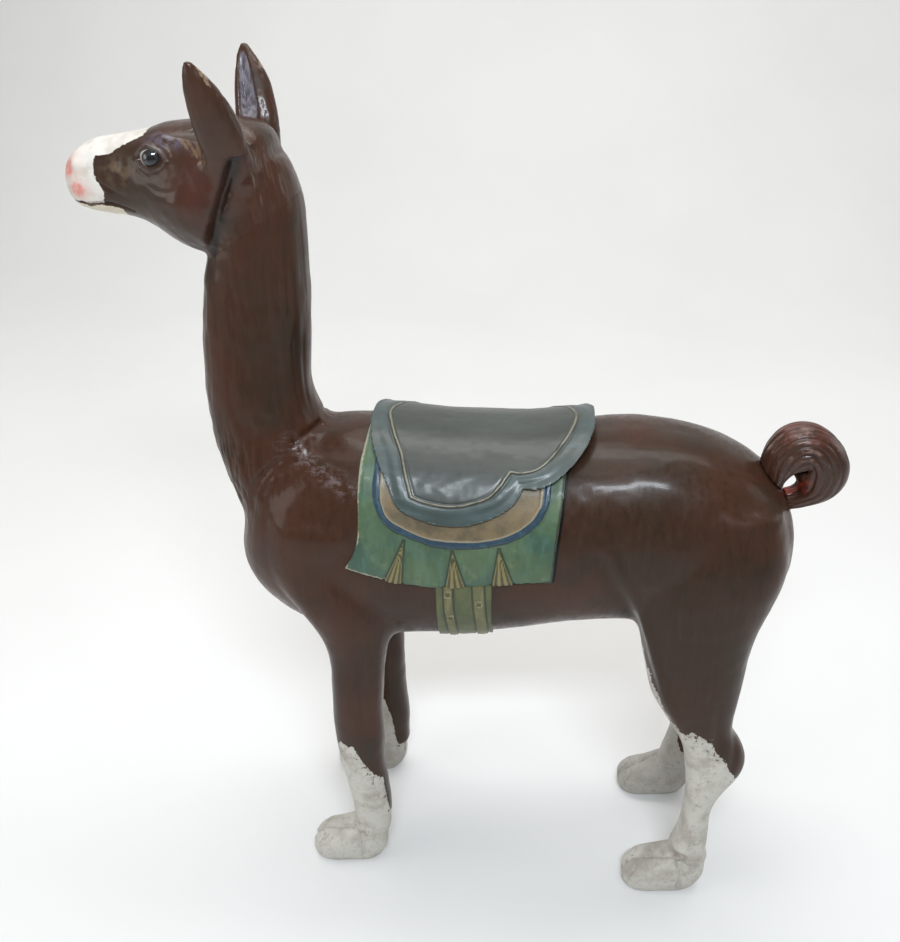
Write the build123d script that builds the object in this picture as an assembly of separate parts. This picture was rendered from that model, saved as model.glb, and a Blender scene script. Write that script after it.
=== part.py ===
from build123d import *
import os
from math import copysign, cos, pi, radians, sin

# A standing llama of carved and painted wood, with a carved saddle. Millimetres.
# +Z is up, the llama faces -X, and its own left side is at -Y. The origin is on the
# floor, under the middle of the statue. The body is glued up from planks and blocks
# that are held by hidden dowels, and carved to one flowing shape across the joints.

# ---- Driving dimensions ----------------------------------------------------------
torso_length = 620            # front of the chest to the rump
torso_depth = 258             # belly to back, at the middle
torso_width = 204             # side to side, over the ribs
torso_height = 492            # floor to the middle of the torso
neck_length = 440             # heart of the chest to the poll
neck_depth = 118              # front to back, half way up
neck_width = 96               # side to side, half way up
head_length = 216             # back of the skull to the nose
head_depth = 126              # crown to jaw
head_width = 110              # over the cheeks
ear_length = 116              # along the ear, with the part that sits in the head
ear_width = 46                # across the ear, seen from the side
ear_splay = 20                # degrees that each ear leans outwards
eye_diameter = 28
eye_bulge = 4                 # how far an eye stands out of its socket
stance_width = 162            # between the middles of the left and right feet
leg_depth = 60                # knee, front to back
leg_width = 50                # knee, side to side
foot_length = 100
foot_width = 54
foot_height = 56              # sole to instep
ankle_height = 50             # floor to the joint above each foot
leg_joint_drop = 18           # chest underside to the level joint that all four legs share
hock_share = 0.572            # height of the hock joint, as a share of the height of the leg joint
tail_height = 104             # bottom to top of the curled tail
tail_width = 52
core_plank_thickness = 70     # middle plank of the torso
blanket_thickness = 5
pad_thickness = 4.5
saddle_thickness = 6
girth_thickness = 3
girth_width = 62
dowel_diameter = 12
dowel_length = 70
plank_dowel_length = 130      # these run right through the core plank
dowel_clearance = 0.1         # between a dowel and its hole, all round
hole_extra = 1                # each hole is this much deeper than its dowel, at each end

REACH = 3000                  # larger than the statue, for cutting tools


# ---- Helpers -----------------------------------------------------------------------
def ring(x, y, z, heading, deep, wide, square=2.3, points=16):
    """One closed rounded section. Heading is the way the carving runs, in degrees from +X
    towards +Z; deep is the half size across it in the side view, wide the half size in Y."""
    turn = radians(heading)
    corners = []
    for step in range(points):
        angle = 2 * pi * (step + 0.5) / points
        across = deep * copysign(abs(cos(angle)) ** (2 / square), cos(angle))
        side = wide * copysign(abs(sin(angle)) ** (2 / square), sin(angle))
        corners.append((x - across * sin(turn), y + side, z + across * cos(turn)))
    return Face(Wire([Edge.make_spline(corners, periodic=True)]))


def one(shape):
    """The single solid that a cut or a join has to leave."""
    found = shape.solids()
    if len(found) != 1:
        raise ValueError(f"{len(found)} solids where one is meant")
    return found[0]


def carve(rings):
    """A solid that runs smoothly through its sections."""
    return one(loft(rings))


def other_side(solid):
    """The same piece on the llama's right."""
    return solid.mirror(Plane.XZ)


def beyond(x, z, heading):
    """Everything past a glue plane through (x, z), on the side that heading points to."""
    turn = radians(heading)
    plane = Plane(origin=(x, 0, z), x_dir=(0, 1, 0), z_dir=(cos(turn), 0, sin(turn)))
    return plane.location * Solid.make_box(REACH, REACH, REACH, Plane((-REACH / 2, -REACH / 2, 0)))


def slab(low, high):
    """Everything between two planes across Y."""
    return Solid.make_box(REACH, high - low, REACH, Plane((-REACH / 2, low, -REACH / 2)))


def outline_prism(runs):
    """Everything inside a closed side outline, right through the statue. Each run is a list
    of (x, z) points: two make a straight edge and more make a curve."""
    edges = []
    for run in runs:
        corners = [(x, -REACH / 2, z) for x, z in run]
        edges.append(Edge.make_line(*corners) if len(corners) == 2 else Edge.make_spline(corners))
    return Solid.extrude(Face(Wire(edges)), Vector(0, REACH, 0))


def peg(x, y, z, heading, length, gap=0.0):
    """A dowel along a heading in the side view, or its hole when a gap is given."""
    turn = radians(heading)
    along = Vector(cos(turn), 0, sin(turn))
    half = length / 2 + (hole_extra if gap else 0)
    start = Vector(x, y, z) - along * half
    return Solid.make_cylinder(dowel_diameter / 2 + gap, 2 * half, Plane(origin=start, z_dir=along))


def cross_peg(x, z, gap=0.0):
    """A dowel through the core plank, or its hole when a gap is given."""
    half = plank_dowel_length / 2 + (hole_extra if gap else 0)
    start = (x, -half, z)
    return Solid.make_cylinder(dowel_diameter / 2 + gap, 2 * half, Plane(origin=start, z_dir=(0, 1, 0)))


# ---- Torso -------------------------------------------------------------------------
chest_x = -262
half_depth = torso_depth / 2
half_width = torso_width / 2

# along, top, bottom and half width, as shares of the length, half depth and half width
torso_rows = [
    (0.000, 0.00, -0.42, 0.42), (0.025, 0.35, -0.66, 0.68), (0.085, 0.72, -0.93, 0.88),
    (0.170, 0.95, -1.10, 0.97), (0.280, 0.96, -1.11, 1.00), (0.400, 0.92, -1.05, 1.00),
    (0.520, 0.93, -0.95, 1.00), (0.640, 1.02, -0.80, 1.00), (0.740, 1.06, -0.74, 0.99),
    (0.830, 1.01, -0.72, 0.96), (0.910, 0.86, -0.64, 0.88), (0.970, 0.62, -0.48, 0.72),
    (1.005, 0.32, -0.18, 0.42)]


def torso_x(along):
    return chest_x + along * torso_length


def torso_z(up):
    return torso_height + up * half_depth


def torso_ring(row, grow):
    along, top, bottom, half = row
    deep = (top - bottom) / 2 * half_depth
    return ring(torso_x(along), 0, torso_z((top + bottom) / 2), 0, deep + grow, half * half_width + grow)


def grown_torso(grow):
    """The barrel of the body, with a layer of even thickness added all round."""
    return carve([torso_ring(row, grow) for row in torso_rows])


torso = grown_torso(0)

# ---- Neck and head -------------------------------------------------------------------
neck_x = torso_x(0.165)
neck_z = torso_z(-0.248)
# lean and rise as shares of the neck's length, heading, then shares of half depth and width
neck_rows = [
    (0.000, 0.000, 150, 1.49, 1.88), (-0.073, 0.125, 131, 1.37, 1.71), (-0.127, 0.261, 115, 1.17, 1.38),
    (-0.170, 0.398, 98, 1.02, 1.13), (-0.170, 0.545, 90, 0.98, 1.00), (-0.155, 0.682, 84, 0.95, 0.96),
    (-0.134, 0.818, 78, 0.83, 0.94), (-0.127, 0.920, 84, 0.75, 0.92), (-0.141, 1.000, 100, 0.58, 0.83)]


def neck_point(lean, rise):
    return neck_x + lean * neck_length, neck_z + rise * neck_length


neck_rings = []
for lean, rise, heading, deep, wide in neck_rows:
    x, z = neck_point(lean, rise)
    neck_rings.append(ring(x, 0, z, heading, deep * neck_depth / 2, wide * neck_width / 2))
neck = carve(neck_rings)

skull_x, poll_z = neck_point(-0.0818, 1.0)
head_z = poll_z - 20          # middle of the cheeks
# forward and up as shares of the head's length and depth, then shares of half depth and width
head_rows = [
    (0.000, 0.190, 0.25, 0.47), (0.046, 0.143, 0.57, 0.76), (0.139, 0.048, 0.86, 0.95),
    (0.250, -0.032, 1.02, 1.00), (0.389, -0.048, 1.00, 0.96), (0.505, -0.016, 0.89, 0.84),
    (0.620, 0.016, 0.71, 0.69), (0.759, 0.024, 0.62, 0.60), (0.898, 0.000, 0.52, 0.51),
    (0.968, -0.016, 0.38, 0.36), (1.000, -0.016, 0.19, 0.18)]


def head_point(forward, up):
    return skull_x - forward * head_length, head_z + up * head_depth


head_rings = []
for forward, up, deep, wide in head_rows:
    x, z = head_point(forward, up)
    head_rings.append(ring(x, 0, z, 180, deep * head_depth / 2, wide * head_width / 2))
head = carve(head_rings)

# back and up along the ear as shares of its length, then shares of its half width and cup
ear_cup = 0.62                # thickness of an ear as a share of its width
ear_rows = [
    (0.000, 0.00, 0.96, 1.00), (-0.020, 0.26, 1.00, 1.00), (-0.060, 0.52, 0.90, 0.90),
    (-0.110, 0.76, 0.66, 0.66), (-0.150, 0.92, 0.34, 0.36), (-0.165, 1.00, 0.12, 0.12)]
ear_heading = 99
ear_x, ear_z = head_point(0.13, 0.08)
ear_y = 0.78 * head_width / 2
ear_rings = []
for back, up, deep, wide in ear_rows:
    size = ear_width / 2
    ear_rings.append(ring(ear_x + back * ear_length, 0, ear_z + up * ear_length, ear_heading,
                          deep * size, wide * size * ear_cup))
ear_left = carve(ear_rings).rotate(Axis((0, 0, ear_z), (1, 0, 0)), ear_splay).moved(Location((0, -ear_y, 0)))

eye_x, eye_z = head_point(0.522, 0.214)
eye_y = 0.70 * head_width / 2 + eye_bulge - eye_diameter / 2
eye_left = Solid.make_sphere(eye_diameter / 2, Plane((eye_x, -eye_y, eye_z)), -90, 90, 360)

# ---- Legs ----------------------------------------------------------------------------
foot_y = stance_width / 2
shoulder_y = half_width - 56   # middle of the shoulder inside the torso
hip_y = half_width - 58


def leg(rows, root_x, root_y):
    """A leg that runs down from inside the body to the foot. Each row: forward offset from
    the root, height, place between root and foot, half depth and half width."""
    rings = []
    for offset, height, out, deep, wide in rows:
        y = root_y + out * (foot_y - root_y)
        rings.append(ring(root_x + offset, -y, height, -90, deep * leg_depth / 2, wide * leg_width / 2))
    return carve(rings)


foreleg_x = torso_x(0.2194)
hindleg_x = torso_x(0.887)
chest_underside = torso_z(-1.10)
leg_joint = chest_underside - leg_joint_drop
hock_height = hock_share * leg_joint

foreleg_rows = [
    (-52, torso_z(0.37), 0.00, 1.67, 1.60), (-39, torso_z(-0.02), 0.29, 2.20, 1.84),
    (-20, torso_z(-0.48), 0.46, 2.07, 1.76), (-2, torso_z(-0.79), 0.63, 1.67, 1.52),
    (2, torso_z(-1.10), 0.80, 1.20, 1.20), (1, 0.91 * leg_joint, 0.94, 1.03, 1.08),
    (0, 0.64 * leg_joint, 1.00, 1.00, 1.00), (4, 0.477 * leg_joint, 1.00, 0.88, 0.92),
    (10, 0.295 * leg_joint, 1.00, 0.83, 0.88), (8, 0.17 * leg_joint, 1.00, 0.88, 0.94)]
hindleg_rows = [
    (-8, torso_z(0.60), 0.00, 2.00, 1.76), (-12, torso_z(0.06), 0.27, 2.60, 2.00),
    (-21, torso_z(-0.39), 0.49, 2.47, 1.84), (-21, torso_z(-0.79), 0.65, 2.07, 1.60),
    (-14, 0.99 * leg_joint, 0.84, 1.70, 1.36), (5, 0.82 * leg_joint, 0.95, 1.14, 1.12),
    (21, 1.13 * hock_height, 1.00, 1.07, 1.00), (16, 0.974 * hock_height, 1.00, 0.78, 0.90),
    (12, 0.816 * hock_height, 1.00, 0.57, 0.82), (11, 0.553 * hock_height, 1.00, 0.60, 0.82),
    (9, 0.316 * hock_height, 1.00, 0.83, 0.96)]
foreleg_loft = leg(foreleg_rows, foreleg_x, shoulder_y)
hindleg_loft = leg(hindleg_rows, hindleg_x, hip_y)

# along from heel to toe, bottom, top and half width, as shares of length, height and width
foot_rows = [
    (0.00, 0.42, 1.10, 0.40), (0.06, 0.22, 1.22, 0.64), (0.22, -0.06, 1.20, 0.84),
    (0.44, -0.12, 1.09, 0.94), (0.64, -0.12, 0.86, 1.00), (0.82, -0.10, 0.70, 0.96),
    (0.94, 0.00, 0.54, 0.74), (1.00, 0.12, 0.40, 0.44)]


def foot(heel_x):
    """A long foot with its toes forwards and a flat sole on the floor."""
    rings = []
    for along, bottom, top, wide in foot_rows:
        middle = (bottom + top) / 2 * foot_height
        deep = (top - bottom) / 2 * foot_height
        rings.append(ring(heel_x - along * foot_length, -foot_y, middle, 180, deep, wide * foot_width / 2, 2.6))
    return one(carve(rings) & beyond(0, 0, 90))


forefoot_loft = foot(foreleg_x + 29)
hindfoot_loft = foot(hindleg_x + 31)

# ---- Tail ----------------------------------------------------------------------------
tail_x = torso_x(0.968)
tail_z = torso_z(0.574)
# back, up, heading, half thickness as a share of the tail's height, half width share
tail_rows = [
    (-0.01, 0.00, 55, 0.12, 0.60), (0.05, 0.29, 75, 0.22, 0.90), (0.25, 0.46, 15, 0.265, 1.00),
    (0.42, 0.32, -60, 0.265, 1.00), (0.42, 0.02, -110, 0.22, 0.85), (0.24, -0.20, -160, 0.13, 0.55)]
tail_rings = []
for back, up, heading, deep, wide in tail_rows:
    tail_rings.append(ring(tail_x + back * tail_height, 0, tail_z + up * tail_height, heading,
                           deep * tail_height, wide * tail_width / 2))
tail_loft = carve(tail_rings)

# ---- Glue planes ---------------------------------------------------------------------
neck_joint = (*neck_point(-0.14, 0.295), 114)
head_joint = (*neck_point(-0.15, 0.850), 125)
above_neck_joint = beyond(*neck_joint)
above_head_joint = beyond(*head_joint)
above_leg_joint = beyond(0, leg_joint, 90)
above_hock = beyond(0, hock_height, 90)
above_ankle = beyond(0, ankle_height, 90)
core_slab = slab(-core_plank_thickness / 2, core_plank_thickness / 2)
left_slab = slab(-REACH / 2, -core_plank_thickness / 2)
left_half = slab(-REACH / 2, 0)

# ---- Dowels --------------------------------------------------------------------------
plank_dowel_places = []
for along in (0.14, 0.40, 0.60, 0.80):
    for up in (-0.45, 0.40):
        plank_dowel_places.append((torso_x(along), torso_z(up)))


def along_joint(joint, distance):
    """A place on a slanted glue plane, a distance from its named point."""
    x, z, heading = joint
    turn = radians(heading)
    return x + distance * sin(turn), z - distance * cos(turn), heading


neck_dowel_spread = 0.28 * neck_depth
head_dowel_spread = 0.17 * neck_depth


def joint_pegs(joint, spread, gap=0.0):
    pegs = []
    for distance in (-spread, spread):
        x, z, heading = along_joint(joint, distance)
        pegs.append(peg(x, 0, z, heading, dowel_length, gap))
    return pegs


def plank_pegs(gap=0.0):
    return [cross_peg(x, z, gap) for x, z in plank_dowel_places]


def leg_pegs(gap=0.0):
    """One upright dowel at the top of each left leg."""
    return [peg(foreleg_x + 2, -foot_y + 7, leg_joint, 90, dowel_length, gap),
            peg(hindleg_x - 10, -foot_y + 7, leg_joint, 90, dowel_length, gap)]


def hock_pegs(gap=0.0):
    return [peg(hindleg_x + 16, -foot_y, hock_height, 90, dowel_length, gap)]


def ankle_pegs(gap=0.0):
    """One upright dowel in each left ankle, stopping above the sole."""
    return [peg(foreleg_x + 8, -foot_y, ankle_height, 90, dowel_length, gap),
            peg(hindleg_x + 9, -foot_y, ankle_height, 90, dowel_length, gap)]


def tail_pegs(gap=0.0):
    return [peg(tail_x + 0.02 * tail_height, 0, tail_z + 0.12 * tail_height, 50, 0.7 * dowel_length, gap)]


def even(solid):
    """The same piece with its right half made an exact mirror of its left."""
    half = solid & left_half
    return one(half + other_side(half))


def drilled(solid, holes):
    for hole in holes:
        solid = solid - hole
    return one(solid)


def both_sides(solids):
    return solids + [other_side(solid) for solid in solids]


gap = dowel_clearance

# ---- Carved body, cut at its glue planes -----------------------------------------------
foreleg_top = one(foreleg_loft & above_leg_joint)
hindleg_top = one(hindleg_loft & above_leg_joint)
figure = torso + neck + head + foreleg_top + other_side(foreleg_top) + hindleg_top + other_side(hindleg_top)
figure = one(figure)

trunk = one(figure - above_neck_joint)
neck_and_head = one(figure & above_neck_joint)
neck_block = drilled(neck_and_head - above_head_joint,
                     joint_pegs(neck_joint, neck_dowel_spread, gap) + joint_pegs(head_joint, head_dowel_spread, gap))
head_block = neck_and_head & above_head_joint
head_block = head_block - ear_left - other_side(ear_left) - eye_left - other_side(eye_left)
head_block = drilled(head_block, joint_pegs(head_joint, head_dowel_spread, gap))

core_blank = even(trunk & core_slab)
left_blank = one(trunk & left_slab)
torso_core_plank = drilled(core_blank, plank_pegs(gap)
                           + joint_pegs(neck_joint, neck_dowel_spread, gap) + tail_pegs(gap))
torso_left_plank = drilled(left_blank, plank_pegs(gap) + leg_pegs(gap))

ear_left_piece = one(ear_left)
tail_curl = drilled(tail_loft - core_blank, tail_pegs(gap))

foreleg_low = foreleg_loft - above_leg_joint + forefoot_loft
foreleg_left = drilled(foreleg_low & above_ankle, leg_pegs(gap)[:1] + ankle_pegs(gap)[:1])
forefoot_left = drilled(foreleg_low - above_ankle, ankle_pegs(gap)[:1])

hindleg_low = hindleg_loft - above_leg_joint + hindfoot_loft
thigh_left = drilled(hindleg_low & above_hock, leg_pegs(gap)[1:] + hock_pegs(gap))
hind_shank_left = drilled(hindleg_low - above_hock & above_ankle, hock_pegs(gap) + ankle_pegs(gap)[1:])
hindfoot_left = drilled(hindleg_low - above_ankle, ankle_pegs(gap)[1:])

# ---- Saddle layers ---------------------------------------------------------------------
# along the torso and up from its middle, as shares of its length and half depth
over_back = 2.0                # a share well above the back, where the outlines close
blanket_outline = [
    [(0.247, over_back), (0.246, 0.95)],
    [(0.246, 0.95), (0.242, 0.70), (0.243, 0.25), (0.219, -0.03)],
    [(0.219, -0.03), (0.276, -0.10), (0.355, -0.155), (0.477, -0.10), (0.586, -0.03)],
    [(0.586, -0.03), (0.590, 0.34), (0.597, 0.71), (0.600, 0.95)],
    [(0.600, 0.95), (0.600, over_back)],
    [(0.600, over_back), (0.247, over_back)]]
pad_outline = [
    [(0.268, over_back), (0.270, 0.80)],
    [(0.270, 0.80), (0.278, 0.53), (0.297, 0.41), (0.334, 0.325), (0.376, 0.264), (0.447, 0.264),
     (0.505, 0.333), (0.542, 0.442), (0.565, 0.574), (0.574, 0.80)],
    [(0.574, 0.80), (0.574, over_back)],
    [(0.574, over_back), (0.268, over_back)]]
saddle_outline = [
    [(0.238, over_back), (0.238, 1.20)],
    [(0.238, 1.20), (0.260, 1.00), (0.288, 0.80), (0.305, 0.66)],
    [(0.305, 0.66), (0.313, 0.597), (0.342, 0.52), (0.387, 0.465), (0.447, 0.488), (0.486, 0.566), (0.519, 0.690),
     (0.527, 0.775)],
    [(0.527, 0.775), (0.569, 0.806), (0.597, 0.899), (0.625, 1.02), (0.648, 1.16)],
    [(0.648, 1.16), (0.648, over_back)],
    [(0.648, over_back), (0.238, over_back)]]


def side_outline(runs):
    return [[(torso_x(along), torso_z(up)) for along, up in run] for run in runs]


blanket_prism = outline_prism(side_outline(blanket_outline))
pad_prism = outline_prism(side_outline(pad_outline))
saddle_prism = outline_prism(side_outline(saddle_outline))
over_blanket = grown_torso(blanket_thickness)
over_pad = grown_torso(blanket_thickness + pad_thickness)
over_saddle = grown_torso(blanket_thickness + pad_thickness + saddle_thickness)

blanket_left = one((over_blanket & blanket_prism & left_half) - core_blank - left_blank)
pad_left = one(over_pad - over_blanket & pad_prism & left_half)
saddle_left = one(over_saddle - over_pad & saddle_prism & left_half)

# ---- Girth -----------------------------------------------------------------------------
girth_x = torso_x(0.431)
girth_run = Solid.make_box(girth_width, REACH, torso_z(0.6), Plane((girth_x - girth_width / 2, -REACH / 2, 0)))
girth_band = even((grown_torso(girth_thickness) & girth_run) - core_blank - left_blank - blanket_prism)

# ---- Write every piece -------------------------------------------------------------------
nodes = {
    "torso_core_plank": [torso_core_plank],
    "neck_block": [neck_block],
    "head_block": [head_block],
    "tail_curl": [tail_curl],
    "girth_band": [girth_band],
    "plank_dowels": plank_pegs(),
    "neck_dowels": joint_pegs(neck_joint, neck_dowel_spread),
    "head_dowels": joint_pegs(head_joint, head_dowel_spread),
    "tail_dowel": tail_pegs(),
    "leg_dowels": both_sides(leg_pegs()),
    "hock_dowels": both_sides(hock_pegs()),
    "ankle_dowels": both_sides(ankle_pegs()),
}
left_pieces = {
    "torso_left_plank": torso_left_plank, "ear_left": ear_left_piece, "eye_left": eye_left,
    "foreleg_left": foreleg_left, "forefoot_left": forefoot_left, "thigh_left": thigh_left,
    "hind_shank_left": hind_shank_left, "hindfoot_left": hindfoot_left,
    "blanket_left": blanket_left, "pad_left": pad_left, "saddle_left": saddle_left,
}
for name, piece in left_pieces.items():
    nodes[name] = [piece]
    nodes[name.replace("left", "right")] = [other_side(piece)]

whole = Compound([piece for pieces in nodes.values() for piece in pieces])
box = whole.bounding_box()
to_origin = Location((-(box.min.X + box.max.X) / 2, -(box.min.Y + box.max.Y) / 2, -box.min.Z))
print("size", box.size, "moved by", to_origin.position)

os.makedirs("parts", exist_ok=True)
for name, pieces in nodes.items():
    placed = [piece.moved(to_origin) for piece in pieces]
    export_step(placed[0] if len(placed) == 1 else Compound(placed), f"parts/{name}.step")
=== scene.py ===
# %% [markdown]
# # A carved and painted wooden llama
# This lesson builds the looks of a standing llama, carved from glued wood, painted and
# varnished, with a carved saddle. The measured pieces come from the CAD frame. Everything
# that shows is carved here as real geometry: one skin for the whole body, so that the
# carving runs on across the glue joints, which is then sawn at the same planes as the wood.

# %% Load the frame
from math import cos, pi, radians, sin

import bmesh
import bpy
import numpy as np
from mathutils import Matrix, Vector


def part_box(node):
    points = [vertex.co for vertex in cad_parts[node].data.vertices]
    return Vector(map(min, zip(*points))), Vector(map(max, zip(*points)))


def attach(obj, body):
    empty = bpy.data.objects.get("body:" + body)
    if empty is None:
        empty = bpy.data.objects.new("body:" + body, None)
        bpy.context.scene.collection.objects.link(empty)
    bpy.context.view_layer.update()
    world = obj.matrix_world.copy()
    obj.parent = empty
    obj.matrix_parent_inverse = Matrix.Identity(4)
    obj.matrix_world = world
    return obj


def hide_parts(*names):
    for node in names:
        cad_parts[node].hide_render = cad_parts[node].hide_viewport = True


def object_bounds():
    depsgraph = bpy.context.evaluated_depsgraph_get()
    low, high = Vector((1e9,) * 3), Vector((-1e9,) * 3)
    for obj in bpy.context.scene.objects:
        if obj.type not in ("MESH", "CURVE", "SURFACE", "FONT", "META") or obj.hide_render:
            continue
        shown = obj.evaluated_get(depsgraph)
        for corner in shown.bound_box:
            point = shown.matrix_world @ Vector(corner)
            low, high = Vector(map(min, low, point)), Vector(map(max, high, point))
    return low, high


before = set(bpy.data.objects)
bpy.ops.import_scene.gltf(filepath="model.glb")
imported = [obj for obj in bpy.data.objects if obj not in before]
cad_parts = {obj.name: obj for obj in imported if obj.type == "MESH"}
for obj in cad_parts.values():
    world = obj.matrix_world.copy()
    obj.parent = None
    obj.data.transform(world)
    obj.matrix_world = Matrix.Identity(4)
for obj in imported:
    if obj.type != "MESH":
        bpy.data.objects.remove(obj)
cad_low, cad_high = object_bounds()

MM = 0.001
print("CAD box", [round(v, 3) for v in (*cad_low, *cad_high)])

# %% [markdown]
# ## Camera, light and floor
# The statue is seen by somebody who stands beside it and looks down at it. The camera is
# placed by three plain facts: where the eye is, how far it turns and how far it tilts.
# Varnish is judged by what it mirrors, so the lights are large and soft. One long panel
# beside the camera draws the window-like streaks along the flank and the saddle.

# %% Camera
scene = bpy.context.scene
eye_place = Vector((0.0875, -0.942, 1.096))
eye_turn, eye_tilt = 0.1164, 0.5154
camera_data = bpy.data.cameras.new("camera")
camera_data.sensor_width = 36
camera_data.lens = 36.3
camera = bpy.data.objects.new("camera", camera_data)
camera.location = eye_place
camera.rotation_euler = (pi / 2 - eye_tilt, 0, eye_turn)
scene.collection.objects.link(camera)
scene.camera = camera


# %% Lights
def panel(name, place, target, size, power, colour=(1, 1, 1)):
    """A soft rectangular light at a place, turned to face a target."""
    data = bpy.data.lights.new(name, "AREA")
    data.shape = "RECTANGLE"
    data.size, data.size_y = size
    data.energy = power
    data.color = colour
    lamp = bpy.data.objects.new(name, data)
    lamp.location = place
    lamp.rotation_euler = (Vector(target) - Vector(place)).to_track_quat("-Z", "Y").to_euler()
    scene.collection.objects.link(lamp)
    return lamp


middle = (0.0, 0.0, 0.5)
panel("window", (0.25, -1.5, 2.1), (0.0, 0.0, 0.6), (0.9, 0.26), 34, (0.84, 0.92, 1.0))
panel("sky", (-0.3, 0.2, 3.2), middle, (2.4, 2.4), 33, (1.0, 0.98, 0.95))
panel("front_fill", (-2.4, -1.1, 1.1), middle, (1.2, 1.2), 11, (1.0, 0.97, 0.93))
panel("rear_fill", (2.4, 0.8, 1.2), middle, (1.2, 1.2), 6, (0.95, 0.97, 1.0))
panel("backdrop", (0.0, 1.0, 4.2), (0.0, 3.2, 1.4), (5.0, 1.6), 85)
world = bpy.data.worlds.new("studio")
scene.world = world
world.use_nodes = True
world.node_tree.nodes["Background"].inputs["Color"].default_value = (1.0, 0.98, 0.95, 1)
world.node_tree.nodes["Background"].inputs["Strength"].default_value = 0.27
scene.view_settings.view_transform = "Standard"

# %% [markdown]
# ## Arrays instead of objects
# A carving is easier to shape as plain arrays: points in rows of three and faces in rows of
# four. These helpers read a CAD node, wrap a new even skin round several nodes at once, and
# find how every point sits against the features that are cut later.


# %% Skin of the wood
def swollen_copy(names, swell):
    """One mesh of several CAD nodes, each with its doubles merged and pushed out a little,
    so that pieces that only touch really overlap."""
    joined = bmesh.new()
    for name in names:
        single = bmesh.new()
        single.from_mesh(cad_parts[name].data)
        bmesh.ops.remove_doubles(single, verts=single.verts, dist=1e-6)
        single.normal_update()
        for vert in single.verts:
            vert.co += vert.normal * swell
        loose = bpy.data.meshes.new("loose")
        single.to_mesh(loose)
        joined.from_mesh(loose)
        single.free()
        bpy.data.meshes.remove(loose)
    mesh = bpy.data.meshes.new("joined")
    joined.to_mesh(mesh)
    joined.free()
    return mesh


def skin(names, voxel, swell=0.3 * MM):
    """The outside of several CAD nodes as one even net of small squares: (points, quads)."""
    body = bpy.data.objects.new("skin", swollen_copy(names, swell))
    scene.collection.objects.link(body)
    remesh = body.modifiers.new("net", "REMESH")
    remesh.mode = "VOXEL"
    remesh.voxel_size = voxel
    graph = bpy.context.evaluated_depsgraph_get()
    net = body.evaluated_get(graph).to_mesh()
    points = np.empty(len(net.vertices) * 3)
    net.vertices.foreach_get("co", points)
    quads = np.empty(len(net.polygons) * 4, int)
    net.polygons.foreach_get("vertices", quads)
    bpy.data.objects.remove(body)
    return outer_shell(points.reshape(-1, 3), quads.reshape(-1, 4))


def outer_shell(points, quads):
    """Only the largest joined shell: labels spread along faces until nothing changes."""
    label = np.arange(len(points))
    while True:
        lowest = label[quads].min(axis=1)
        spread = label.copy()
        for side in range(4):
            np.minimum.at(spread, quads[:, side], lowest)
        spread = spread[spread]
        if (spread == label).all():
            break
        label = spread
    names, counts = np.unique(label, return_counts=True)
    keep = label == names[counts.argmax()]
    fresh = np.cumsum(keep) - 1
    return points[keep], fresh[quads[keep[quads[:, 0]]]]


def total(index, values, size):
    """Values added up by index, one column at a time."""
    return np.stack([np.bincount(index, values[:, k], size) for k in range(values.shape[1])], axis=1)


def normals(points, quads):
    """The outward direction at each point: the sum of the cross products of its faces' diagonals."""
    a, b, c, d = (points[quads[:, k]] for k in range(4))
    face = np.cross(c - a, d - b)
    out = sum(total(quads[:, k], face, len(points)) for k in range(4))
    return out / np.maximum(np.linalg.norm(out, axis=1), 1e-12)[:, None]


def relax(points, quads, rounds, weight=1.0):
    """Each point moves half way to the mean of its neighbours, as many times as asked,
    scaled by a weight of its own. Creases round off and the rest hardly changes."""
    start = np.concatenate([quads[:, k] for k in range(4)])
    end = np.concatenate([quads[:, (k + 1) % 4] for k in range(4)])
    size = len(points)
    count = np.maximum(np.bincount(start, minlength=size), 1)[:, None]
    share = 0.5 * np.broadcast_to(np.asarray(weight, float), (size,))[:, None]
    for _ in range(rounds):
        points = points + share * (total(start, points[end], size) / count - points)
    return points


# %% [markdown]
# ## Marks of the gouge
# Three kinds of mark make the surface: a smooth random field for the soft facets of the
# knife, a groove along a line, and a mound round a spot. Each gives one height for every
# point at once, and the points then move along their normals by the sum.


# %% Random field and strokes
def field(points, size, seed):
    """Smooth random heights from -1 to 1. Space is split into boxes of a size in millimetres,
    each corner gets a random number, and a point blends its box's corners by smooth weights."""
    table = np.random.default_rng(seed).uniform(-1, 1, 4096)
    cell = points / (np.asarray(size) * MM)
    low = np.floor(cell).astype(np.int64)
    t = cell - low
    t = t * t * (3 - 2 * t)
    value = np.zeros(len(points))
    for corner in range(8):
        step = np.array([corner & 1, corner >> 1 & 1, corner >> 2 & 1])
        key = (low + step) * np.array([73856093, 19349663, 83492791])
        pick = table[(key[:, 0] ^ key[:, 1] ^ key[:, 2]) & 4095]
        value += pick * np.where(step, t, 1 - t).prod(axis=1)
    return value


def curve(points, steps=6):
    """A smooth line through a few points given in millimetres: a Catmull-Rom spline, where
    each span leaves a point in the direction from its last neighbour to its next."""
    p = np.asarray(points, float) * MM
    p = np.vstack([2 * p[0] - p[1], p, 2 * p[-1] - p[-2]])
    t = np.linspace(0, 1, steps, endpoint=False)[:, None]
    spans = []
    for a, b, c, d in zip(p, p[1:], p[2:], p[3:]):
        spans.append(0.5 * (2 * b + (c - a) * t + (2 * a - 5 * b + 4 * c - d) * t**2
                            + (3 * b - a - 3 * c + d) * t**3))
    return np.vstack(spans + [p[-2:-1]])


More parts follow.
